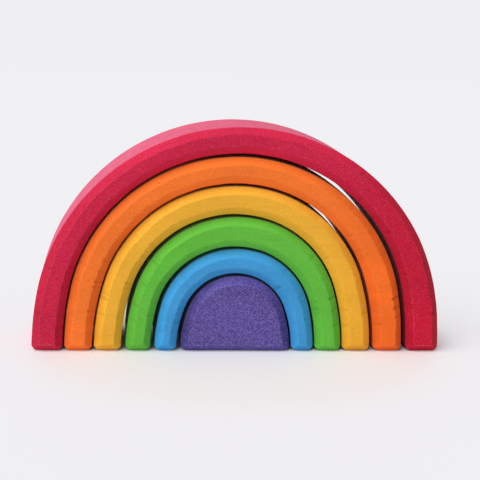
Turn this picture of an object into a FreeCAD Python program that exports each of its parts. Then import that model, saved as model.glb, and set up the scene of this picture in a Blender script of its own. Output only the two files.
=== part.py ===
import FreeCAD, Part
import math
import os
import Sketcher

# Rainbow stacker: five wooden arches nested over a solid half-round core. Each piece
# stands on its own feet on the table. X is the width of the row, Y its depth, Z is up,
# and the origin is on the table under the middle of the outermost arch.

# Driving dimensions, in millimetres. Every curve is a crown arc between two flatter flank
# arcs, which stand upright where they meet the table. A leg is an arch's width at the
# table and a crown its thickness at the top. Its inner cut lies off the middle, to the
# left, by the drift, and the two gaps are the clearances at the table from the piece
# inside to the leg that it leans towards and to the other leg.
DIMENSIONS = {
    "block_depth": 40.0,
    "edge_chamfer": 3.0,
    "foot_chamfer": 1.8,
    "purple_half_width": 22.7,
    "purple_height": 31.5,
    "purple_flank_radius": 51.0,
    "blue_near_gap": 0.8,
    "blue_far_gap": 1.9,
    "blue_leg": 9.05,
    "blue_crown": 10.0,
    "blue_flank_radius": 74.0,
    "blue_drift": 0.15,
    "green_near_gap": 0.8,
    "green_far_gap": 1.8,
    "green_leg": 10.55,
    "green_crown": 12.1,
    "green_flank_radius": 87.0,
    "green_drift": 0.4,
    "yellow_near_gap": 0.7,
    "yellow_far_gap": 1.9,
    "yellow_leg": 11.35,
    "yellow_crown": 11.45,
    "yellow_flank_radius": 100.0,
    "yellow_drift": 0.3,
    "orange_near_gap": 0.8,
    "orange_far_gap": 1.5,
    "orange_leg": 11.7,
    "orange_crown": 10.8,
    "orange_flank_radius": 130.0,
    "orange_drift": 0.45,
    "red_near_gap": 0.8,
    "red_far_gap": 2.0,
    "red_leg": 13.15,
    "red_crown": 10.8,
    "red_flank_radius": 135.0,
    "red_drift": 0.65,
}

# The side of the row that a nested piece leans towards.
LEFT = -1
RIGHT = 1

# The numbers that a sketch gives to a curve's points and to its level axis.
START = 1
END = START + 1
CENTRE = END + 1
X_AXIS = -1


def curve(half_width, height, flank_radius, middle):
    """The expressions for one curve, from its middle line at the table."""
    return {
        "half_width": half_width,
        "height": height,
        "flank_radius": flank_radius,
        "middle": middle,
    }


def grown(inner, side, top, flank_radius, middle):
    """The expressions for a curve outside another, by how much wider and taller it is."""
    return curve(
        "%s + %s" % (inner["half_width"], side),
        "%s + %s" % (inner["height"], top),
        flank_radius,
        middle)


def core(label, half_width, height, flank_radius):
    """The solid piece in the middle."""
    outer = curve(half_width, height, flank_radius, "0")
    return {"label": label, "inside": None, "outer": outer}


def arch(label, inside, near_gap, far_gap, side, leg, crown, flank_radius, drift):
    """An arch that clears the piece inside it, which leans towards one of the legs."""
    gap = "(%s + %s) / 2" % (near_gap, far_gap)
    around = inside["outer"]
    inner = grown(around, gap, gap, "%s + %s" % (around["flank_radius"], gap), "-" + drift)
    return {
        "label": label,
        "inside": inside,
        "lean": "%d * (%s - %s) / 2 - %s" % (side, far_gap, near_gap, drift),
        "inner": inner,
        "outer": grown(inner, leg, crown, flank_radius, "0"),
    }


def nest():
    """The six pieces from the inside out."""
    purple = core(
        "purple_half_round", "sizes.purple_half_width", "sizes.purple_height",
        "sizes.purple_flank_radius")
    blue = arch(
        "blue_arch", purple, "sizes.blue_near_gap", "sizes.blue_far_gap", RIGHT,
        "sizes.blue_leg", "sizes.blue_crown", "sizes.blue_flank_radius", "sizes.blue_drift")
    green = arch(
        "green_arch", blue, "sizes.green_near_gap", "sizes.green_far_gap", RIGHT,
        "sizes.green_leg", "sizes.green_crown", "sizes.green_flank_radius",
        "sizes.green_drift")
    yellow = arch(
        "yellow_arch", green, "sizes.yellow_near_gap", "sizes.yellow_far_gap", RIGHT,
        "sizes.yellow_leg", "sizes.yellow_crown", "sizes.yellow_flank_radius",
        "sizes.yellow_drift")
    orange = arch(
        "orange_arch", yellow, "sizes.orange_near_gap", "sizes.orange_far_gap", LEFT,
        "sizes.orange_leg", "sizes.orange_crown", "sizes.orange_flank_radius",
        "sizes.orange_drift")
    red = arch(
        "red_arch", orange, "sizes.red_near_gap", "sizes.red_far_gap", LEFT,
        "sizes.red_leg", "sizes.red_crown", "sizes.red_flank_radius", "sizes.red_drift")
    return [purple, blue, green, yellow, orange, red]


def make_sheet(document):
    """The spreadsheet of driving dimensions, one alias for each number."""
    sheet = document.addObject("Spreadsheet::Sheet", "sizes")
    for row, (name, value) in enumerate(DIMENSIONS.items(), start=1):
        cell = "B%d" % row
        sheet.set(cell, str(value))
        sheet.setAlias(cell, name)
    document.recompute()


def make_body(document, label):
    """An empty body with its own label."""
    body = document.addObject("PartDesign::Body", label)
    body.Label = label
    return body


def front_sketch(body, name):
    """A sketch on the body's own upright front plane."""
    sketch = body.newObject("Sketcher::SketchObject", name)
    plane = next(item for item in body.Origin.OriginFeatures if item.Role == "XZ_Plane")
    sketch.AttachmentSupport = [(plane, "")]
    sketch.MapMode = "FlatFace"
    return sketch


def arc_between(sketch, x, z, radius, start, end):
    """An arc about a centre, between two angles counted from the right."""
    circle = Part.Circle(FreeCAD.Vector(x, z, 0), FreeCAD.Vector(0, 0, 1), radius)
    return sketch.addGeometry(Part.ArcOfCircle(circle, start, end), False)


def line_between(sketch, start, end):
    """A straight line between two points of the sketch."""
    first = FreeCAD.Vector(start[0], start[1], 0)
    last = FreeCAD.Vector(end[0], end[1], 0)
    return sketch.addGeometry(Part.LineSegment(first, last), False)


def bind(sketch, kind, arguments, name, expression):
    """A named dimension of the sketch that follows an expression."""
    value = sketch.evalExpression(expression)
    index = sketch.addConstraint(Sketcher.Constraint(kind, *arguments, value))
    sketch.renameConstraint(index, name)
    sketch.setExpression("Constraints." + name, expression)


def crown_of(half_width, height, flank_radius):
    """The radius of the crown arc that runs smoothly into both flanks."""
    reach = 2 * flank_radius * half_width - half_width ** 2 - height ** 2
    return reach / (2 * (flank_radius - height))


def draw_curve(sketch, name, shape):
    """A crown arc between two flank arcs: returns the right and left flank."""
    half_width, height, flank, middle = (
        sketch.evalExpression(shape[key])
        for key in ("half_width", "height", "flank_radius", "middle"))
    crown = crown_of(half_width, height, flank)
    turn = math.atan2(height - crown, flank - half_width)
    offset = flank - half_width
    right = arc_between(sketch, middle - offset, 0, flank, 0, turn)
    top = arc_between(sketch, middle, height - crown, crown, turn, math.pi - turn)
    left = arc_between(sketch, middle + offset, 0, flank, math.pi - turn, math.pi)
    sketch.addConstraint([
        Sketcher.Constraint("Tangent", right, END, top, START),
        Sketcher.Constraint("Tangent", top, END, left, START),
        Sketcher.Constraint("Equal", right, left),
        Sketcher.Constraint("PointOnObject", right, CENTRE, X_AXIS),
        Sketcher.Constraint("PointOnObject", right, START, X_AXIS),
        Sketcher.Constraint("PointOnObject", left, CENTRE, X_AXIS),
        Sketcher.Constraint("PointOnObject", left, END, X_AXIS),
    ])
    origin = (X_AXIS, START)
    bind(sketch, "Radius", (right,), name + "_flank_radius", shape["flank_radius"])
    bind(sketch, "DistanceX", (*origin, right, START), name + "_right_foot",
         "%s + %s" % (shape["middle"], shape["half_width"]))
    bind(sketch, "DistanceX", (left, END, *origin), name + "_left_foot",
         "%s - (%s)" % (shape["half_width"], shape["middle"]))
    summit = sketch.addGeometry(Part.Point(FreeCAD.Vector(middle, height, 0)), True)
    sketch.addConstraint([
        Sketcher.Constraint("PointOnObject", summit, START, top),
        Sketcher.Constraint("Vertical", summit, START, top, CENTRE),
    ])
    bind(sketch, "DistanceY", (*origin, summit, START), name + "_height", shape["height"])
    return right, left


def join_feet(sketch, first, first_point, second, second_point):
    """The flat sole between the bottom ends of two flanks."""
    start = sketch.getPoint(first, first_point)
    end = sketch.getPoint(second, second_point)
    sole = line_between(sketch, (start.x, start.y), (end.x, end.y))
    sketch.addConstraint([
        Sketcher.Constraint("Coincident", first, first_point, sole, START),
        Sketcher.Constraint("Coincident", sole, END, second, second_point),
    ])


def pad_to_depth(body, sketch):
    """The sawn block: the outline carried evenly to both sides of the middle plane."""
    pad = body.newObject("PartDesign::Pad", body.Label + "_block")
    pad.Profile = sketch
    pad.Midplane = True
    pad.setExpression("Length", "sizes.block_depth")
    body.Document.recompute()
    return pad


def edges_where(feature, wanted):
    """The names of the feature's edges that the test accepts."""
    return ["Edge%d" % number for number, edge in enumerate(feature.Shape.Edges, start=1)
            if wanted(edge)]


def chamfer(body, base, suffix, edges, size):
    """An equal chamfer along the named edges."""
    cut = body.newObject("PartDesign::Chamfer", body.Label + suffix)
    cut.Base = (base, edges)
    cut.setExpression("Size", size)
    body.Document.recompute()
    return cut


def finish_block(body, sketch):
    """The padded outline, its front and back edges broken all round, then its feet."""
    pad = pad_to_depth(body, sketch)
    table = pad.Shape.BoundBox.ZMin
    tolerance = pad.Shape.getTolerance(1)

    def round_face(edge):
        return edge.BoundBox.YLength < tolerance

    def beside_sole(edge):
        limits = edge.BoundBox
        return limits.ZMax < table + tolerance and limits.XLength < tolerance

    arrised = chamfer(body, pad, "_arrises", edges_where(pad, round_face), "sizes.edge_chamfer")
    chamfer(body, arrised, "_feet", edges_where(arrised, beside_sole), "sizes.foot_chamfer")


def build(document, piece):
    """The body of one piece, its curves drawn about its own middle."""
    body = make_body(document, piece["label"])
    sketch = front_sketch(body, piece["label"] + "_outline")
    right, left = draw_curve(sketch, "outer", piece["outer"])
    if piece["inside"] is None:
        join_feet(sketch, left, END, right, START)
    else:
        inner_right, inner_left = draw_curve(sketch, "inner", piece["inner"])
        join_feet(sketch, left, END, inner_left, END)
        join_feet(sketch, inner_right, START, right, START)
    document.recompute()
    finish_block(body, sketch)
    return body


def place(pieces, bodies):
    """Stands each piece where it leans, from the outermost arch inwards."""
    leans = ["0"]
    for piece, body in zip(reversed(pieces), reversed(bodies)):
        body.setExpression("Placement.Base.x", " + ".join(leans))
        if piece["inside"] is not None:
            leans.append(piece["lean"])


def check(document, bodies):
    """Stops if any object failed or any piece isn't one sound solid."""
    for item in document.Objects:
        if "Invalid" in item.State or "Error" in item.State:
            raise RuntimeError("%s is in state %s" % (item.Name, item.State))
        if item.isDerivedFrom("Sketcher::SketchObject") and not item.FullyConstrained:
            raise RuntimeError("%s can still move" % item.Name)
    for body in bodies:
        shape = body.Shape
        if shape.isNull() or not shape.isValid() or len(shape.Solids) != 1:
            raise RuntimeError("%s has no sound solid" % body.Label)


def main():
    document = FreeCAD.newDocument("rainbow_stacker")
    make_sheet(document)
    pieces = nest()
    bodies = [build(document, piece) for piece in pieces]
    place(pieces, bodies)
    document.recompute()
    check(document, bodies)

    os.makedirs("parts", exist_ok=True)
    for body in bodies:
        body.Shape.exportStep("parts/%s.step" % body.Label)
        box = body.Shape.optimalBoundingBox()
        print("%-18s x %7.2f %7.2f  z %6.2f %6.2f  volume %9.1f" % (
            body.Label, box.XMin, box.XMax, box.ZMin, box.ZMax, body.Shape.Volume))


main()
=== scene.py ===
import math
from typing import NamedTuple

import bpy
import numpy as np
from mathutils import Matrix, Vector, geometry


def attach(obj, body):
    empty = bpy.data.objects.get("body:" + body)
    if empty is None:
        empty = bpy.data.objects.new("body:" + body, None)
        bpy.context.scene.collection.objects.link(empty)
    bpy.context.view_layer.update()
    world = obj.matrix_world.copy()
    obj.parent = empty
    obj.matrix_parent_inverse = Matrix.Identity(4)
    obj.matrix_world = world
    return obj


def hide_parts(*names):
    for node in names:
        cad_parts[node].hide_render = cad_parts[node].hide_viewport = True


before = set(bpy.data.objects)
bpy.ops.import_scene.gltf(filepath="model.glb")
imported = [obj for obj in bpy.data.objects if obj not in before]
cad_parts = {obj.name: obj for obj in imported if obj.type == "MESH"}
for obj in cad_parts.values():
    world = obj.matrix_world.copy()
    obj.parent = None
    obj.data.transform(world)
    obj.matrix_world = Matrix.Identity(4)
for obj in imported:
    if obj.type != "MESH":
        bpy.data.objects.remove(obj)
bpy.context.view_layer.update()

# A nest of stained wooden arches on a pale table. Lengths are millimetres in this script,
# and metres where Blender is given them. Two that differ by less than TINY count as the same.
MM = 0.001
TINY = 0.01

# Sides of the row, and the mark of a piece that has nothing inside it or around it.
LEFT = -1
RIGHT = 1
NEITHER = 0


class Piece(NamedTuple):
    """One piece of the nest: its names, how it stands, how it took the stain and its painted
    chamfer light.
    """

    node: str           # the solid that it replaces, and the body that it rides on
    slot: str           # the record's material slot
    close: int          # the side on which the piece inside it stands close
    stain: tuple        # the colour of its sawn faces
    fuzz: float         # how much the sanding fuzz shows
    chamfer_painted_light: float      # painted light: how much brighter a chamfer is painted than the face
    end_grain: float    # how much darker the end grain is
    seed: int           # what its random draws start from


# The pieces from the inside out.
PIECES = [
    Piece("purple_half_round", "purple_stain", NEITHER, (0.098, 0.068, 0.285),
          fuzz=0.9, chamfer_painted_light=1.28, end_grain=0.42, seed=11),
    Piece("blue_arch", "blue_stain", RIGHT, (0.048, 0.292, 0.600),
          fuzz=0.16, chamfer_painted_light=1.12, end_grain=0.0, seed=12),
    Piece("green_arch", "green_stain", RIGHT, (0.118, 0.470, 0.046),
          fuzz=0.16, chamfer_painted_light=1.12, end_grain=0.12, seed=13),
    Piece("yellow_arch", "yellow_stain", RIGHT, (0.785, 0.392, 0.034),
          fuzz=0.14, chamfer_painted_light=1.12, end_grain=0.08, seed=14),
    Piece("orange_arch", "orange_stain", LEFT, (0.860, 0.175, 0.024),
          fuzz=0.18, chamfer_painted_light=1.12, end_grain=0.17, seed=15),
    Piece("red_arch", "red_stain", LEFT, (0.565, 0.014, 0.056),
          fuzz=0.3, chamfer_painted_light=1.12, end_grain=0.22, seed=16),
]

# How a curve is measured on a solid: the share of the half width that surely lies on the
# crown arc, the share of it that this stretch may drop by, and how often the flank is worked
# out anew.
CROWN_SHARE = 0.4
SHALLOW_SHARE = 0.1
REFINEMENTS = 5

# Mesh spacing along the outline, across the sides and over the faces, the fewest steps along
# a sole, and how far a point of a face may stray, as a share of that spacing.
STATION = 0.7
SIDE_STEP = 3.0
FACE_STEP = 1.6
FEWEST_STEPS = 3
FACE_STRAY_SHARE = 1 / 6

# Where the cuts meet at a foot: how far that stretch reaches past the chamfer, how far its
# turns are rounded, and the number of points on each rounding of the sole's cut.
CORNER_RUN = 0.8
CORNER_REACH = 0.25
FOOT_POINTS = 3

# The knife: how long one stroke is, how far it strays from the marked chamfer and at most
# how many times that far, and how far from a foot corner it starts to stray.
STROKE_LENGTH = (5.0, 11.0)
STROKE_STRAY = 0.15
MOST_STRAY = 2
CLEAR_OF_CORNER = 3.0

# Tear-outs where the knife crossed the grain: how far apart they are, how long one is along
# the edge, how far it reaches into the face, and the share of that by which it reaches into
# the side.
NICK_SPACING = 5.0
NICK_WIDTH = (0.2, 0.4)
NICK_DEPTH = (0.2, 0.6)
NICK_SINK_SHARE = 0.5

# Worn edges: how far the rounding reaches on the flanks and over the crown, how it comes and
# goes along the edge, how much less where the chamfer meets the side, the strip beside an
# edge that its rounding may use, and the longest share of a line that it takes.
FLANK_REACH = 0.3
CROWN_REACH = 0.9
REACH_SPAN = (0.7, 1.3)
REACH_WAVE = 17.0
SHARPER = 0.5
EDGE_RING = 0.5
LONGEST_SHARE = 0.45

# Across a rounded edge, how far each row of points has turned from the face on to the
# chamfer, and how much it is rubbed.
TURNED = (0.0, 0.25, 0.5, 0.75, 1.0)
RUBBED = (0.0, 0.7, 1.0, 0.7, 0.0)

# How much an edge of end grain is rubbed, where the edges of a foot are rubbed fully, and how
# strongly a tear-out still shows from the middle of the chamfer on.
GRAIN_RUB = 0.3
NICK_FADE = 0.6

# Surfaces dip by up to this much, in waves of these rough lengths over a side and over a
# face. The dip of a face sets in over this far from its rim, and the draws for a side start
# from the piece's seed and this number.
DIP = 0.05
SIDE_WAVES = (23.0, 31.0)
FACE_WAVES = (29.0, 19.0)
FLAT_RIM = 3.0
SIDE_SEED = 100

# The parts of a wave field: their strength and scale, and how far each leans.
WAVE_SCALES = (1.0, 0.55, 0.3)
WAVE_LEAN = 0.4

# The saw wandered through the depth of the block, so the two sides of a gap bow together,
# and where the pieces stand close that shuts the light out: how far they bow on that side,
# the slope of side over which it sets in, the height where it starts, and the share of the
# flank's radius over which it rises. On the other side they bow less, and only higher up.
BOW = 1.1
BOW_SLOPE = (0.1, 0.4)
BOW_START = 3.8
BOW_RISE_SHARE = 0.055
WIDE_BOW = 0.45
WIDE_BOW_HEIGHT = (30.0, 50.0)

# How pale a sawn side is painted, partly for a thinner coat of stain and partly as painted sheen:
# fully on the outside of the outermost arch, this much on the outsides of the pieces within it,
# and not at all inside an arch or under a foot. The rest of a side is painted dark as painted
# shade.
NESTED_PALE = 0.75

# Which side of a curve the wood is on: within an outer curve, beyond an inner one.
WITHIN = -1
BEYOND = 1


class Curve:
    """A crown arc between two flank arcs that stand upright at the table."""

    def __init__(self, middle, foot_half_width, foot, crown_points):
        # The crown's circle is fitted to the points, and the flank meets it smoothly.
        across, height = (crown_points - [middle, 0]).T
        slope, level = np.polyfit(height, across ** 2 + height ** 2, 1)
        self.middle = middle
        self.crown_centre = slope / 2
        self.crown_radius = math.sqrt(level + self.crown_centre ** 2)
        self.half_width = foot_half_width
        for _ in range(REFINEMENTS):
            spread = self.half_width ** 2 + self.crown_centre ** 2 - self.crown_radius ** 2
            self.flank_radius = spread / (2 * (self.half_width - self.crown_radius))
            self.half_width = foot_half_width + self.drawn_in(foot)

    def drawn_in(self, height):
        """How far the flank has come in at a small height."""
        return self.flank_radius - math.sqrt(self.flank_radius ** 2 - height ** 2)

    def foot_at(self, side, height):
        """Where the curve stands on one side at a small height."""
        return self.middle + side * (self.half_width - self.drawn_in(height))

    def stations(self, bottom):
        """Points from the left foot over to the right foot, and their outward directions."""
        offset = self.flank_radius - self.half_width
        join = math.atan2(self.crown_centre, offset)
        lowest = math.asin(bottom / self.flank_radius)
        top = math.pi / 2
        flank = np.linspace(lowest, join, int((join - lowest) * self.flank_radius / STATION))
        crown = np.linspace(join, top, int((top - join) * self.crown_radius / STATION))[1:]
        angle = np.concatenate([flank, crown])
        outward = np.column_stack([np.cos(angle), np.sin(angle)])
        on_flank = np.arange(len(angle))[:, None] < len(flank)
        centre = np.where(on_flank, [[-offset, 0]], [[0, self.crown_centre]])
        radius = np.where(on_flank, self.flank_radius, self.crown_radius)
        half = centre + outward * radius
        mirror = [[-1, 1]]
        points = np.concatenate([half * mirror, half[::-1][1:]]) + [self.middle, 0]
        outward = np.concatenate([outward * mirror, outward[::-1][1:]])
        return points, outward


class Shape:
    """The real sizes of one piece, measured on its solid."""

    def __init__(self, node, hollow):
        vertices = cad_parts[node].data.vertices
        points = np.array([vertex.co[:] for vertex in vertices]) / MM
        low, high = points.min(0), points.max(0)
        self.low, self.high = low, high
        self.front, self.back = low[1], high[1]
        # The arris is the size of the chamfer, and the foot that of the cut at the sole.
        self.arris = points[points[:, 1] < self.front + TINY][:, 2].min()
        sides = points[(points[:, 1] > self.front + self.arris - TINY)
                       & (points[:, 1] < self.back - self.arris + TINY)][:, [0, 2]]
        self.foot = sides[sides[:, 1] > TINY][:, 1].min()
        feet = np.sort(sides[abs(sides[:, 1] - self.foot) < TINY][:, 0])
        middle = (feet[0] + feet[-1]) / 2
        half_width = (feet[-1] - feet[0]) / 2
        near_top = sides[abs(sides[:, 0] - middle) < CROWN_SHARE * half_width]
        above = near_top[:, 1] > high[2] - SHALLOW_SHARE * half_width
        self.outer = Curve(middle, half_width, self.foot, near_top[above])
        self.inner = None
        if hollow:
            inside = feet[abs(feet - middle) < half_width - self.arris]
            middle = (inside[0] + inside[-1]) / 2
            half_width = (inside[-1] - inside[0]) / 2
            below = near_top[~above & (near_top[:, 1] > high[2] / 2)]
            self.inner = Curve(middle, half_width, self.foot, below)


class Stations(NamedTuple):
    """A row of places along an outline seen from the front, and what belongs to each."""

    side: np.ndarray    # the point on the side of the piece
    face: np.ndarray    # the point where the marked chamfer meets the face
    ring: np.ndarray    # the point just inside that one
    depth: np.ndarray   # how deep the chamfer goes
    bow: np.ndarray     # how far the side bows at mid depth, and which way
    pale: np.ndarray    # how pale the side is painted: a thinner coat of stain, and painted sheen


def reverse(stations):
    return Stations(*(values[::-1] for values in stations))


def smooth_step(values, low, high):
    """0 up to the low value and 1 from the high one, with a smooth rise between them."""
    share = ((values - low) / (high - low)).clip(0, 1)
    return share * share * (3 - 2 * share)


def bend(start, corner, end, t):
    """The place at share t of a smooth curve from start to end that heads for the corner."""
    return start * (1 - t) ** 2 + corner * 2 * t * (1 - t) + end * t ** 2


def rounded_corner(before, corner, after, reach, count):
    """Rows of points that leave one line, cut the corner within reach, and join the next."""
    before, corner, after = (np.atleast_2d(point) for point in (before, corner, after))
    first, last = before - corner, after - corner
    first_length = np.linalg.norm(first, axis=1, keepdims=True)
    last_length = np.linalg.norm(last, axis=1, keepdims=True)
    first = corner + first * np.minimum(reach / first_length, LONGEST_SHARE)
    last = corner + last * np.minimum(reach / last_length, LONGEST_SHARE)
    return [bend(first, corner, last, t) for t in np.linspace(0, 1, count)]


def plain_stations(shape, side, inward, bow, pale):
    """Stations clear of the foot corners, where the chamfer has its full size."""
    inward = np.broadcast_to(inward, side.shape)
    face = side + inward * shape.arris
    ring = side + inward * (shape.arris + EDGE_RING)
    count = len(side)
    return Stations(side, face, ring, np.full(count, shape.arris), bow, np.full(count, pale))


def foot_corner(shape, x, inward, pale=0.0):
    """Stations from the foot of a leg round on to its sole, where three cuts meet."""
    foot, arris = shape.foot, shape.arris
    half = foot / 2
    far = arris + CORNER_RUN
    rounded = rounded_corner((0, arris), (0, foot), (foot, 0), CORNER_REACH, FOOT_POINTS)
    down = np.array([(0, far), (0, arris), (0, (arris + foot) / 2), *np.concatenate(rounded),
                     (half / 2, foot - half / 2)])
    side = np.concatenate([down, [(half, half)], down[::-1, ::-1]])

    def turned(inset, end):
        """As many points as the side has, on a path that turns the corner further in."""
        turn = inset + CORNER_REACH
        start, corner, finish = np.array([(inset, turn), (inset, inset), (turn, inset)])
        t = np.linspace(0, 1, len(side) - 2)[:, None]
        return [(inset, end), *bend(start, corner, finish, t), (end, inset)]

    def placed(points):
        return np.array(points) * [inward, 1] + [x, 0]

    face = turned(arris, far)
    ring = turned(arris + EDGE_RING, far + TINY)
    return Stations(placed(side), placed(face), placed(ring), arris - side.min(1), side * 0,
                    np.full(len(side), pale))


def sole(shape, first, last):
    """Stations along a sole, from one foot corner to the other."""
    steps = max(int(abs(last - first) / STATION), FEWEST_STEPS)
    x = np.linspace(first, last, steps + 1)[1:-1]
    side = np.column_stack([x, np.zeros(len(x))])
    return plain_stations(shape, side, (0, 1), side * 0, 0.0)


def over_curve(shape, curve, wood, close, pale=0.0):
    """Stations over a whole curve from the left foot to the right, clear of the soles."""
    points, outward = curve.stations(shape.arris + CORNER_RUN + STATION)
    slope, height = outward[:, 0] * close, points[:, 1]
    top = BOW_START + BOW_RISE_SHARE * curve.flank_radius
    near = BOW * smooth_step(slope, *BOW_SLOPE) * smooth_step(height, BOW_START, top)
    wide = WIDE_BOW * smooth_step(-slope, *BOW_SLOPE) * smooth_step(height, *WIDE_BOW_HEIGHT)
    bow = outward * (near + wide)[:, None]
    return plain_stations(shape, points, outward * wood, bow, pale)


def outline(shape, close_inside, close_outside):
    """The closed outline of a piece, clockwise from its left foot."""
    run = shape.arris + CORNER_RUN
    left, right = (shape.outer.foot_at(side, shape.foot) for side in (LEFT, RIGHT))
    # An outside is painted pale, a thinner coat with painted sheen; the rest of it gets painted
    # shade.
    pale = 1.0 if close_outside == NEITHER else NESTED_PALE
    rows = [over_curve(shape, shape.outer, WITHIN, close_outside, pale),
            foot_corner(shape, right, LEFT, pale)]
    if shape.inner is None:
        rows.append(sole(shape, right - run, left + run))
    else:
        inner_left, inner_right = (
            shape.inner.foot_at(side, shape.foot) for side in (LEFT, RIGHT))
        rows += [
            sole(shape, right - run, inner_right + run),
            reverse(foot_corner(shape, inner_right, RIGHT)),
            reverse(over_curve(shape, shape.inner, BEYOND, close_inside)),
            foot_corner(shape, inner_left, LEFT),
            sole(shape, inner_left - run, left + run),
        ]
    rows.append(reverse(foot_corner(shape, left, RIGHT, pale)))
    return Stations(*(np.concatenate(values) for values in zip(*rows)))


def distance_along(points):
    """How far along a closed outline each point is, and the whole way round."""
    steps = np.linalg.norm(np.roll(points, -1, axis=0) - points, axis=1)
    return np.concatenate([[0], np.cumsum(steps[:-1])]), steps.sum()


def strokes(draw, along, length):
    """How far the knife strayed at each station: level within a stroke, then a step."""
    lengths = draw.uniform(*STROKE_LENGTH, int(length / STROKE_LENGTH[0]))
    ends = np.cumsum(lengths)
    most = MOST_STRAY * STROKE_STRAY
    stray = draw.normal(0, STROKE_STRAY, len(ends)).clip(-most, most)
    level = stray[np.searchsorted(ends, along)]
    return (np.roll(level, 1) + level * 2 + np.roll(level, -1)) / 4


def away_from_corners(along, length, corners):
    """0 at the stations of the foot corners, rising to 1 a little way from them."""
    gap = abs(along[:, None] - along[corners][None, :])
    gap = np.minimum(gap, length - gap).min(1)
    return (gap / CLEAR_OF_CORNER - 1).clip(0, 1)


def nicks(draw, along, length, across):
    """How far the tear-outs reach at each station: most where the cut crosses the grain."""
    depth = np.zeros(len(along))
    for place in draw.uniform(0, length, int(length / NICK_SPACING)):
        width = draw.uniform(*NICK_WIDTH)
        depth += draw.uniform(*NICK_DEPTH) * np.exp(-((along - place) / width) ** 2)
    return depth * across


def ripple(draw, first, second, first_wave, second_wave):
    """A smooth field between 0 and 1 over two lengths, with the given rough wavelengths."""
    total = np.zeros(np.broadcast(first, second).shape)
    for scale in WAVE_SCALES:
        turn = draw.uniform(0, 2 * math.pi, 2)
        lean = draw.uniform(-WAVE_LEAN, WAVE_LEAN, 2)
        down = first / first_wave + lean[0] * second / second_wave
        across = second / second_wave + lean[1] * first / first_wave
        total = total + scale * (np.sin(2 * math.pi * down / scale + turn[0])
                                 * np.cos(2 * math.pi * across / scale + turn[1]))
    return (total / sum(WAVE_SCALES) + 1) / 2


class Column(NamedTuple):
    """One point for each station at some depth, and the marks that the material reads."""

    points: np.ndarray
    cut: float              # how far it has turned on to a chamfer
    worn: np.ndarray        # how much it is rubbed
    wall: float             # how far it has turned on to a side
    nick: np.ndarray        # how deep it lies in a tear-out
    end_grain: np.ndarray   # how squarely the cut crosses the grain


def edge_columns(draw, shape, stations, y_face, y_in):
    """The columns from the face at y_face over its chamfer to the side. The wood behind the
    face lies along Y in the sense of y_in, 1 or -1."""
    side = stations.side
    along, length = distance_along(side)
    toward = stations.face - side
    width = np.linalg.norm(toward, axis=1, keepdims=True)
    toward = toward / width
    end_grain = abs(toward[:, 0]) ** 2
    crown = abs(toward[:, 1]) ** 2
    corners = np.flatnonzero(stations.depth < shape.arris - TINY)
    clear = away_from_corners(along, length, corners)
    torn = nicks(draw, along, length, end_grain * clear)
    width = width[:, 0] + strokes(draw, along, length) * clear + torn
    depth = stations.depth + strokes(draw, along, length) * clear + torn * NICK_SINK_SHARE
    edge = side + toward * width[:, None]

    def at(points, y):
        return np.column_stack([points[:, 0], np.broadcast_to(y, len(points)), points[:, 1]])

    ring = at(stations.ring + edge - stations.face, y_face)
    face_edge = at(edge, y_face)
    side_edge = at(side, y_face + y_in * depth)
    beyond = at(side, y_face + y_in * (depth + EDGE_RING))

    least, most = REACH_SPAN
    swell = least + (most - least) * ripple(draw, along, 0, REACH_WAVE, REACH_WAVE)
    reach = FLANK_REACH + (CROWN_REACH - FLANK_REACH) * crown * clear
    reach = (reach * swell)[:, None]
    top = rounded_corner(ring, face_edge, side_edge, reach, len(TURNED))
    low = rounded_corner(face_edge, side_edge, beyond, reach * SHARPER, len(TURNED))
    middle = (top[-1] + low[0]) / 2

    rub = np.where(side[:, 1] < shape.arris, 1.0, GRAIN_RUB * end_grain)
    nick = (torn / NICK_DEPTH[1]).clip(0, 1)
    none = np.zeros(len(side))
    columns = [Column(ring, 0, none, 0, none, none)]
    columns += [Column(points, cut, worn * rub, 0, nick * cut, end_grain * cut)
                for points, cut, worn in zip(top, TURNED, RUBBED)]
    columns.append(Column(middle, 1, none, 0, nick * NICK_FADE, end_grain))
    columns += [Column(points, cut, worn * rub, 1 - cut, nick * cut * NICK_FADE, end_grain)
                for points, cut, worn in zip(low, TURNED[::-1], RUBBED)]
    return columns


def side_columns(shape, stations, first, last, seed):
    """The columns across the side, from the points at the front chamfer to those behind."""
    side = stations.side
    along, _ = distance_along(side)
    toward = stations.face - side
    toward = toward / np.linalg.norm(toward, axis=1, keepdims=True)
    standing = (side[:, 1] > TINY).astype(float)
    none = np.zeros(len(side))
    columns = []
    steps = int((shape.back - shape.front) / SIDE_STEP)
    for share in np.linspace(0, 1, steps + 1)[1:-1]:
        points = first * (1 - share) + last * share
        # Each column starts the same draws anew, so that all lie on one field.
        draw = np.random.default_rng(seed + SIDE_SEED)
        dip = DIP * ripple(draw, along, points[:, 1], *SIDE_WAVES) * standing
        # The dip fades out towards both chamfers.
        dip = dip * math.sin(math.pi * share) ** 0.5
        moved = toward * dip[:, None] + stations.bow * (1 - (2 * share - 1) ** 2)
        points = points + np.column_stack([moved[:, 0], none, moved[:, 1]])
        columns.append(Column(points, 0, none, 1, none, abs(toward[:, 0]) ** 2))
    return columns


def inside_polygon(points, ring):
    """Which points lie inside a closed ring, by counting crossings."""
    x, z = points[:, 0, None], points[:, 1, None]
    first, last = ring, np.roll(ring, -1, axis=0)
    spans = (first[:, 1] > z) != (last[:, 1] > z)
    rise = np.where(first[:, 1] == last[:, 1], 1, last[:, 1] - first[:, 1])
    crossing = first[:, 0] + (z - first[:, 1]) * (last[:, 0] - first[:, 0]) / rise
    return (spans & (x < crossing)).sum(1) % 2 == 1


# What the triangulation of a face is told: to keep only what is inside the ring, and how near
# two points lie that count as one.
INSIDE_ONLY = 1
NEAREST = 1e-6


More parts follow.
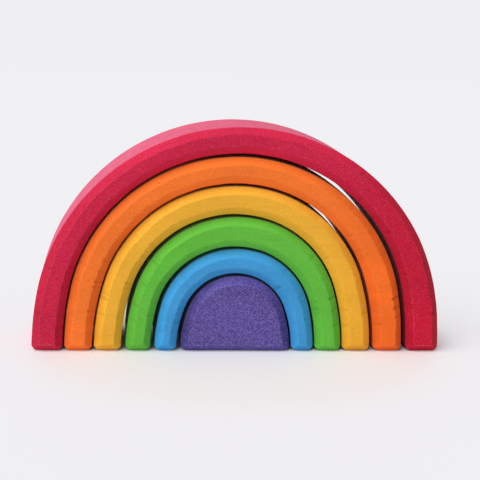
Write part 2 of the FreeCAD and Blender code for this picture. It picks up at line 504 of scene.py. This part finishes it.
def face_mesh(draw, ring):
    """Evenly spaced points within a closed ring, how far each is from it, and the triangles
    that join the ring's points and these, numbered in that order."""
    low, high = ring.min(0), ring.max(0)
    rows = np.arange(low[1], high[1], FACE_STEP * math.sqrt(3) / 2)
    points = []
    for number, z in enumerate(rows):
        x = np.arange(low[0] + number % 2 * FACE_STEP / 2, high[0], FACE_STEP)
        points.append(np.column_stack([x, np.full(len(x), z)]))
    points = np.concatenate(points)
    points = points + draw.uniform(-FACE_STEP, FACE_STEP, points.shape) * FACE_STRAY_SHARE
    points = points[inside_polygon(points, ring)]
    gap = np.array([((ring - point) ** 2).sum(1).min() for point in points]) ** 0.5
    keep = gap > FACE_STEP / 2
    points, gap = points[keep], gap[keep]
    every = [Vector(point) for point in np.concatenate([ring, points])]
    border = [list(range(len(ring)))]
    _, _, triangles, sources, _, _ = geometry.delaunay_2d_cdt(
        every, [], border, INSIDE_ONLY, NEAREST)
    triangles = [[sources[corner][0] for corner in triangle] for triangle in triangles]
    return points, gap, triangles


def face_points(draw, ring, y, y_in):
    """The points that fill one face, slightly dipped, and its triangles, turned outwards."""
    inner, gap, triangles = face_mesh(draw, ring)
    dip = DIP * ripple(draw, inner[:, 0], inner[:, 1], *FACE_WAVES)
    dip = dip * (gap / FLAT_RIM).clip(0, 1)
    points = np.column_stack([inner[:, 0], y + y_in * dip, inner[:, 1]])
    return points, [triangle[::y_in] for triangle in triangles]


def joined(columns, count):
    """The quads between each column and the next, all the way round."""
    station = np.arange(count)
    following = np.roll(station, -1)
    quads = []
    for number in range(len(columns) - 1):
        here, beyond = number * count, (number + 1) * count
        quads.append(np.column_stack([
            here + station, here + following, beyond + following, beyond + station]))
    return np.concatenate(quads).tolist()


def column_marks(columns, stations):
    """The marks of all the columns' points. The pale share of a wall is told apart as open."""
    count = len(stations.side)
    marks = {}
    for name in Column._fields[1:]:
        values = [np.broadcast_to(getattr(column, name), count) for column in columns]
        marks[name] = np.concatenate(values)
    # The open share of a wall is painted pale, a thinner coat with painted sheen; the rest is
    # painted shade.
    marks["open"] = marks["wall"] * np.tile(stations.pale, len(columns))
    marks["wall"] = marks["wall"] - marks["open"]
    return marks


def wooden_object(name, points, faces, marks):
    """An object of these points and faces, with its marks as attributes of the points."""
    mesh = bpy.data.meshes.new(name)
    mesh.from_pydata((points * MM).tolist(), [], faces)
    for mark, values in marks.items():
        layer = mesh.attributes.new(mark, "FLOAT", "POINT")
        layer.data.foreach_set("value", values.astype(np.float32))
    mesh.validate()
    mesh.shade_smooth()
    block = bpy.data.objects.new(name, mesh)
    bpy.context.scene.collection.objects.link(block)
    return block


def build_block(piece, close_outside):
    """The detailed block of wood: hand-cut chamfers, worn edges and slightly uneven faces."""
    shape = Shape(piece.node, piece.close != NEITHER)
    draw = np.random.default_rng(piece.seed)
    stations = outline(shape, piece.close, close_outside)
    front = edge_columns(draw, shape, stations, shape.front, 1)
    back = edge_columns(draw, shape, stations, shape.back, -1)
    between = side_columns(shape, stations, front[-1].points, back[-1].points, piece.seed)
    columns = front + between + back[::-1]

    count = len(stations.side)
    points = np.concatenate([column.points for column in columns])
    faces = joined(columns, count)
    marks = column_marks(columns, stations)
    for start, y, y_in in ((0, shape.front, 1), (len(columns) - 1, shape.back, -1)):
        ring = columns[start].points[:, [0, 2]]
        inner, triangles = face_points(draw, ring, y, y_in)
        numbers = np.concatenate([
            start * count + np.arange(count), len(points) + np.arange(len(inner))])
        faces += [[int(numbers[corner]) for corner in triangle] for triangle in triangles]
        points = np.concatenate([points, inner])
        marks = {name: np.concatenate([values, np.zeros(len(inner))])
                 for name, values in marks.items()}

    # A nested piece may bow out past its own feet, into the gap around it.
    room = np.array([0.0 if close_outside == NEITHER else BOW, 0.0, 0.0])
    points = points.clip(shape.low - room, shape.high + room)
    return wooden_object(piece.node + "_wood", points, faces, marks)


class Nodes:
    """Short names for making the nodes of one material or world."""

    def __init__(self, owner):
        owner.use_nodes = True
        self.tree = owner.node_tree
        self.tree.nodes.clear()

    def add(self, kind, inputs=(), **settings):
        node = self.tree.nodes.new(kind)
        for name, value in settings.items():
            setattr(node, name, value)
        for socket, value in dict(inputs).items():
            if isinstance(value, bpy.types.NodeSocket):
                self.tree.links.new(value, node.inputs[socket])
            else:
                node.inputs[socket].default_value = value
        return node

    def math(self, operation, first, second):
        return self.add("ShaderNodeMath", {0: first, 1: second}, operation=operation).outputs[0]

    def span(self, value, low, high, new_low, new_high):
        """The value taken from one range to another, held at both ends."""
        inputs = {0: value, 1: low, 2: high, 3: new_low, 4: new_high}
        return self.add("ShaderNodeMapRange", inputs).outputs[0]

    def swing(self, value, low, high, amount, middle=1.0):
        """The value taken from its range to as much below a middle as above it."""
        return self.span(value, low, high, middle - amount, middle + amount)

    def stretched(self, place, stretch, offset):
        return self.add("ShaderNodeVectorMath", {0: place, 1: stretch, 2: offset},
                        operation="MULTIPLY_ADD").outputs[0]

    def noise(self, place, stretch, offset, detail=2.0, roughness=0.5):
        """Noise with the given number of cycles per millimetre along X, Y and Z."""
        inputs = {"Vector": self.stretched(place, stretch, offset), "Scale": 1.0,
                  "Detail": detail, "Roughness": roughness}
        return self.add("ShaderNodeTexNoise", inputs).outputs[0]

    def specks(self, place, stretch, offset):
        """Tiny cells, so many per millimetre, each with its own value between 0 and 1."""
        inputs = {"Vector": self.stretched(place, stretch, offset), "Scale": 1.0}
        cells = self.add("ShaderNodeTexVoronoi", inputs).outputs["Color"]
        return self.add("ShaderNodeSeparateColor", {0: cells}).outputs[0]

    def mix(self, share, first, second, blend_type="MIX"):
        inputs = {0: share, 6: first, 7: second}
        return self.add("ShaderNodeMix", inputs, data_type="RGBA",
                        blend_type=blend_type).outputs[2]

    def grey(self, value):
        return self.add("ShaderNodeCombineColor", {0: value, 1: value, 2: value}).outputs[0]

    def power(self, colour, exponent):
        return self.add("ShaderNodeGamma", {0: colour, 1: exponent}).outputs[0]

    def mark(self, name):
        return self.add("ShaderNodeAttribute", attribute_name=name).outputs["Fac"]


def opaque(channels):
    """A colour, as a node takes it, from its three channels."""
    return (*channels, 1.0)


# Patterns in the wood, in cycles per millimetre along X, Y and Z. The grain lies along X, and
# the blade cut along Y. Each piece's seed moves its patterns by so much.
BLOTCHES = (0.035, 0.05, 0.05)
BANDS = (0.012, 0.16, 0.16)
FIBRES = (0.09, 1.1, 1.1)
FUZZ = (2.6, 3.4, 3.4)
PORES = (0.8, 3.4, 3.4)
PATCHES = (0.16, 0.2, 0.16)
BLADE = (1.1, 0.04, 1.1)
SEED_OFFSET = (7.3, 3.1, 5.7)

# The stretch of a noise's values that counts, and a wider one for the fibres.
MIDDLE = (0.3, 0.7)
WIDER = (0.25, 0.75)

# How far the patterns swing the stain's strength, up and down. On a chamfer the fuzz shows a
# little less than on a face.
BLOTCH_SWING = 0.06
BAND_SWING = 0.04
FIBRE_SWING = 0.04
FUZZ_SWING = 0.45
CHAMFER_FUZZ = 0.85

# Painted shade: the colour darkens towards the right feet: from where to where along the row,
# and by what share its power grows at the end. End grain takes a thicker coat of stain.
RIGHT_SHADE_SPAN = (35.0, 80.0)
RIGHT_SHADE = 0.2
END_GRAIN_COAT = 1.05

# Tones beside the stain: the share of stain in bare fibre tips, and the grey that the rest of
# them is; how dark the deep tone of pits and of the painted shade on hidden sides is; and for
# the pale tone of an outer side, a thinner coat of stain with painted sheen, how light it is
# and the power that washes out its hue.
PALE_STAIN = 0.6
PALE_GREY = 0.8
DEEP_TONE = 0.4
SHEEN_AND_THIN_COAT_TONE = 0.8
SHEEN_AND_THIN_COAT_POWER = 0.42

# How far a sawn side goes to its tone: an outer side to its pale one, thinner stain with painted
# sheen, by a share that its patches span and the blade's marks swing, and a hidden side to the
# deep one, as painted shade, by a fixed one.
PALER_SPAN = (0.44, 0.65)
BLADE_SWING = 0.06
HIDDEN_SIDE_SHADE = 0.55

# Between which values of its pattern a mark grows, and how strong it is at either end: pale
# specks of fuzz, open pores and rubbed edges. A tear-out goes this far to the deep tone.
SPECK_SPAN = (0.5, 1.0, 0.0, 0.2)
PORE_SPAN = (0.62, 0.74, 0.0, 0.45)
RUB_SPAN = (0.2, 1.0, 0.06, 0.4)
NICK_DEEP = 0.5

# The surface: its roughness over the fibres, how high the fuzz stands beside the fibres, and
# how strong and how high the whole relief is.
ROUGHNESS_SPAN = (0.60, 0.74)
FUZZ_RELIEF = 0.5
RELIEF_STRENGTH = 0.3
RELIEF = 0.12


def stained_wood(piece):
    """Matte water-stained lime wood, its grain lying along the row, with painted light and shade.
    """
    material = bpy.data.materials.new(piece.slot)
    nodes = Nodes(material)
    stain, strongest = piece.stain, max(piece.stain)
    pale = opaque(PALE_STAIN * channel + (1 - PALE_STAIN) * PALE_GREY for channel in stain)
    deep = opaque(channel * DEEP_TONE for channel in stain)
    # The pale tone of an outer side: a thinner coat of stain, with painted sheen.
    thin_coat_and_sheen = opaque(SHEEN_AND_THIN_COAT_TONE * (channel / strongest) ** SHEEN_AND_THIN_COAT_POWER for channel in stain)
    cut, worn, nick = nodes.mark("cut"), nodes.mark("worn"), nodes.mark("nick")
    wall, outer, end_grain = nodes.mark("wall"), nodes.mark("open"), nodes.mark("end_grain")

    coordinates = nodes.add("ShaderNodeTexCoord").outputs["Object"]
    place = nodes.add("ShaderNodeVectorMath", {0: coordinates, "Scale": 1 / MM},
                      operation="SCALE").outputs[0]
    offset = tuple(piece.seed * step for step in SEED_OFFSET)
    blotches = nodes.noise(place, BLOTCHES, offset)
    bands = nodes.noise(place, BANDS, offset, detail=3.0)
    fibres = nodes.noise(place, FIBRES, offset, detail=4.0, roughness=0.6)
    pores = nodes.noise(place, PORES, offset, detail=1.0)
    patches = nodes.noise(place, PATCHES, offset, detail=3.0)
    blade = nodes.noise(place, BLADE, offset)
    fuzz = nodes.specks(place, FUZZ, offset)
    shown = nodes.span(cut, 0.0, 1.0, piece.fuzz, CHAMFER_FUZZ * piece.fuzz)

    # The coat of stain, uneven from the whole block down to its single fibres.
    tone = nodes.math("MULTIPLY", nodes.swing(blotches, *MIDDLE, BLOTCH_SWING),
                      nodes.swing(bands, *MIDDLE, BAND_SWING))
    tone = nodes.math("MULTIPLY", tone, nodes.swing(fibres, *WIDER, FIBRE_SWING))
    fuzzy = nodes.math("MULTIPLY", nodes.swing(fuzz, 0.0, 1.0, FUZZ_SWING, middle=0.0), shown)
    tone = nodes.math("MULTIPLY", tone, nodes.math("ADD", fuzzy, 1.0))
    # Painted shade: the colour is darkened towards the right feet.
    along = nodes.add("ShaderNodeSeparateXYZ", {0: place}).outputs[0]
    right_shade_power = nodes.span(along, *RIGHT_SHADE_SPAN, 1.0, 1.0 + RIGHT_SHADE)
    colour = nodes.power(opaque(stain), right_shade_power)
    colour = nodes.mix(1.0, colour, nodes.grey(tone), "MULTIPLY")

    # Painted light: a chamfer is painted brighter than the face. End grain drinks the stain.
    painted_lit_chamfer = nodes.mix(1.0, colour, opaque([piece.chamfer_painted_light] * 3), "MULTIPLY")
    colour = nodes.mix(cut, colour, painted_lit_chamfer)
    drunk = nodes.power(colour, END_GRAIN_COAT)
    drunk = nodes.mix(1.0, drunk, opaque([1 - piece.end_grain] * 3), "MULTIPLY")
    colour = nodes.mix(end_grain, colour, drunk)

    # A sawn side takes the stain unevenly, in patches and along the marks of the blade.
    paler = nodes.math("ADD", nodes.span(patches, *MIDDLE, *PALER_SPAN),
                       nodes.swing(blade, *MIDDLE, BLADE_SWING, middle=0.0))
    # Painted sheen and thinner stain: an outer side is painted pale.
    colour = nodes.mix(nodes.math("MULTIPLY", outer, paler), colour, thin_coat_and_sheen)
    # Painted shade: a hidden side is painted dark.
    colour = nodes.mix(nodes.math("MULTIPLY", wall, HIDDEN_SIDE_SHADE), colour, deep)

    # Fuzz, open pores, rubbed edges and tear-outs lie over all of it.
    specks = nodes.math("MULTIPLY", nodes.span(fuzz, *SPECK_SPAN), shown)
    colour = nodes.mix(specks, colour, pale)
    pits = nodes.math("MULTIPLY", nodes.span(pores, *PORE_SPAN), shown)
    colour = nodes.mix(pits, colour, deep)
    rubbed = nodes.math("MULTIPLY", worn, nodes.span(fuzz, *RUB_SPAN))
    colour = nodes.mix(rubbed, colour, pale)
    colour = nodes.mix(nodes.math("MULTIPLY", nick, NICK_DEEP), colour, deep)

    height = nodes.math("ADD", nodes.math("MULTIPLY", fuzz, FUZZ_RELIEF), fibres)
    height = nodes.math("SUBTRACT", height, pits)
    bump = nodes.add("ShaderNodeBump", {
        "Strength": RELIEF_STRENGTH, "Distance": RELIEF * MM, "Height": height})
    shader = nodes.add("ShaderNodeBsdfPrincipled", {
        "Base Color": colour,
        "Roughness": nodes.span(fibres, *MIDDLE, *ROUGHNESS_SPAN),
        "Normal": bump.outputs[0],
        "Specular IOR Level": 0.1,
        "Sheen Weight": 0.05,
        "Sheen Roughness": 0.25,
    })
    nodes.add("ShaderNodeOutputMaterial", {"Surface": shader.outputs[0]})
    return material


def make_pieces():
    """Each block of wood, in the place of its solid."""
    outside = [piece.close for piece in PIECES[1:]] + [NEITHER]
    for piece, close_outside in zip(PIECES, outside):
        block = build_block(piece, close_outside)
        block.data.materials.append(stained_wood(piece))
        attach(block, piece.node)
        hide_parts(piece.node)


# The table top runs on until it can't be told from the pale room behind it. From a little
# way round the object it glows in the room's colour too, as painted light that lightens the
# object's shadow.
FLOOR_SIZE = 40000.0
FLOOR_COLOUR = (0.82, 0.81, 0.82)
ROOM_COLOUR = (0.870, 0.863, 0.900)
FADE_START = 500.0
FADE_END = 2500.0
GLOW_START = 82.0
GLOW_END = 100.0
GLOW = 0.6

# How strongly the room lights the object, in plain white.
WORLD_STRENGTH = 0.44
WHITE = (1.0, 1.0, 1.0)


def make_floor():
    half = FLOOR_SIZE / 2 * MM
    mesh = bpy.data.meshes.new("table_top")
    corners = [(-half, -half, 0), (half, -half, 0), (half, half, 0), (-half, half, 0)]
    mesh.from_pydata(corners, [], [(0, 1, 2, 3)])
    floor = bpy.data.objects.new("table_top", mesh)
    bpy.context.scene.collection.objects.link(floor)
    material = bpy.data.materials.new("pale_table")
    nodes = Nodes(material)
    near = nodes.add("ShaderNodeBsdfPrincipled", {
        "Base Color": opaque(FLOOR_COLOUR), "Roughness": 0.6, "Specular IOR Level": 0.2})
    far = nodes.add("ShaderNodeEmission", {"Color": opaque(ROOM_COLOUR)})
    place = nodes.add("ShaderNodeTexCoord").outputs["Object"]
    distance = nodes.add("ShaderNodeVectorMath", {0: place}, operation="LENGTH").outputs["Value"]
    # Painted light: the table glows from a little way round the object, lightening its shadow.
    glow = nodes.span(distance, GLOW_START * MM, GLOW_END * MM, 0.0, GLOW)
    fade = nodes.span(distance, FADE_START * MM, FADE_END * MM, 0.0, 1.0)
    shown = nodes.math("MAXIMUM", fade, glow)
    both = nodes.add("ShaderNodeMixShader", {0: shown, 1: near.outputs[0], 2: far.outputs[0]})
    nodes.add("ShaderNodeOutputMaterial", {"Surface": both.outputs[0]})
    mesh.materials.append(material)


def make_world():
    """A plain white room that the camera sees in the table's own pale tone."""
    world = bpy.data.worlds.new("pale_room")
    nodes = Nodes(world)
    light = nodes.add("ShaderNodeBackground", {"Color": opaque(WHITE), "Strength": WORLD_STRENGTH})
    seen = nodes.add("ShaderNodeBackground", {"Color": opaque(ROOM_COLOUR)})
    ray = nodes.add("ShaderNodeLightPath").outputs
    shown = nodes.math("MAXIMUM", ray["Is Camera Ray"], ray["Is Glossy Ray"])
    shown = nodes.math("MAXIMUM", shown, ray["Is Transmission Ray"])
    both = nodes.add("ShaderNodeMixShader", {0: shown, 1: light.outputs[0], 2: seen.outputs[0]})
    nodes.add("ShaderNodeOutputWorld", {"Surface": both.outputs[0]})
    bpy.context.scene.world = world


# The soft key light: where it comes from, how wide it looks in degrees and how strong it is.
KEY_FROM = (-0.53, -0.38, 0.76)
KEY_ANGLE = 55.0
KEY_STRENGTH = 0.85 * math.pi


def make_lamp():
    light = bpy.data.lights.new("key_lamp", "SUN")
    light.angle = math.radians(KEY_ANGLE)
    light.energy = KEY_STRENGTH
    lamp = bpy.data.objects.new("key_lamp", light)
    lamp.location = Vector(KEY_FROM)
    lamp.rotation_euler = (-Vector(KEY_FROM)).to_track_quat("-Z", "Y").to_euler()
    bpy.context.scene.collection.objects.link(lamp)


# The photograph's view: place in millimetres, turns in degrees, and the distance from lens
# to picture in pixels of the square frame. The sensor's width is the usual 36 mm.
CAMERA_PLACE = (-50.6, -480.0, 137.2)
CAMERA_YAW = 6.17
CAMERA_PITCH = 10.98
CAMERA_ROLL = 1.81
FOCAL_PIXELS = 1158.5
FRAME_PIXELS = 480.0
SENSOR = 36.0
CLIP_START = 10.0


def make_camera():
    yaw, pitch, roll = (math.radians(turn) for turn in (CAMERA_YAW, CAMERA_PITCH, CAMERA_ROLL))
    forward = Vector((math.sin(yaw) * math.cos(pitch), math.cos(yaw) * math.cos(pitch),
                      -math.sin(pitch)))
    level = Vector((math.cos(yaw), -math.sin(yaw), 0))
    above = level.cross(forward)
    right = level * math.cos(roll) + above * math.sin(roll)
    up = above * math.cos(roll) - level * math.sin(roll)
    lens = bpy.data.cameras.new("camera")
    lens.sensor_width = SENSOR
    lens.lens = FOCAL_PIXELS / FRAME_PIXELS * SENSOR
    lens.clip_start = CLIP_START * MM
    camera = bpy.data.objects.new("camera", lens)
    turn = Matrix((right, up, -forward)).transposed().to_4x4()
    camera.matrix_world = Matrix.Translation(Vector(CAMERA_PLACE) * MM) @ turn
    bpy.context.scene.collection.objects.link(camera)
    bpy.context.scene.camera = camera


make_pieces()
make_floor()
make_world()
make_lamp()
make_camera()
bpy.context.scene.view_settings.view_transform = "Standard"
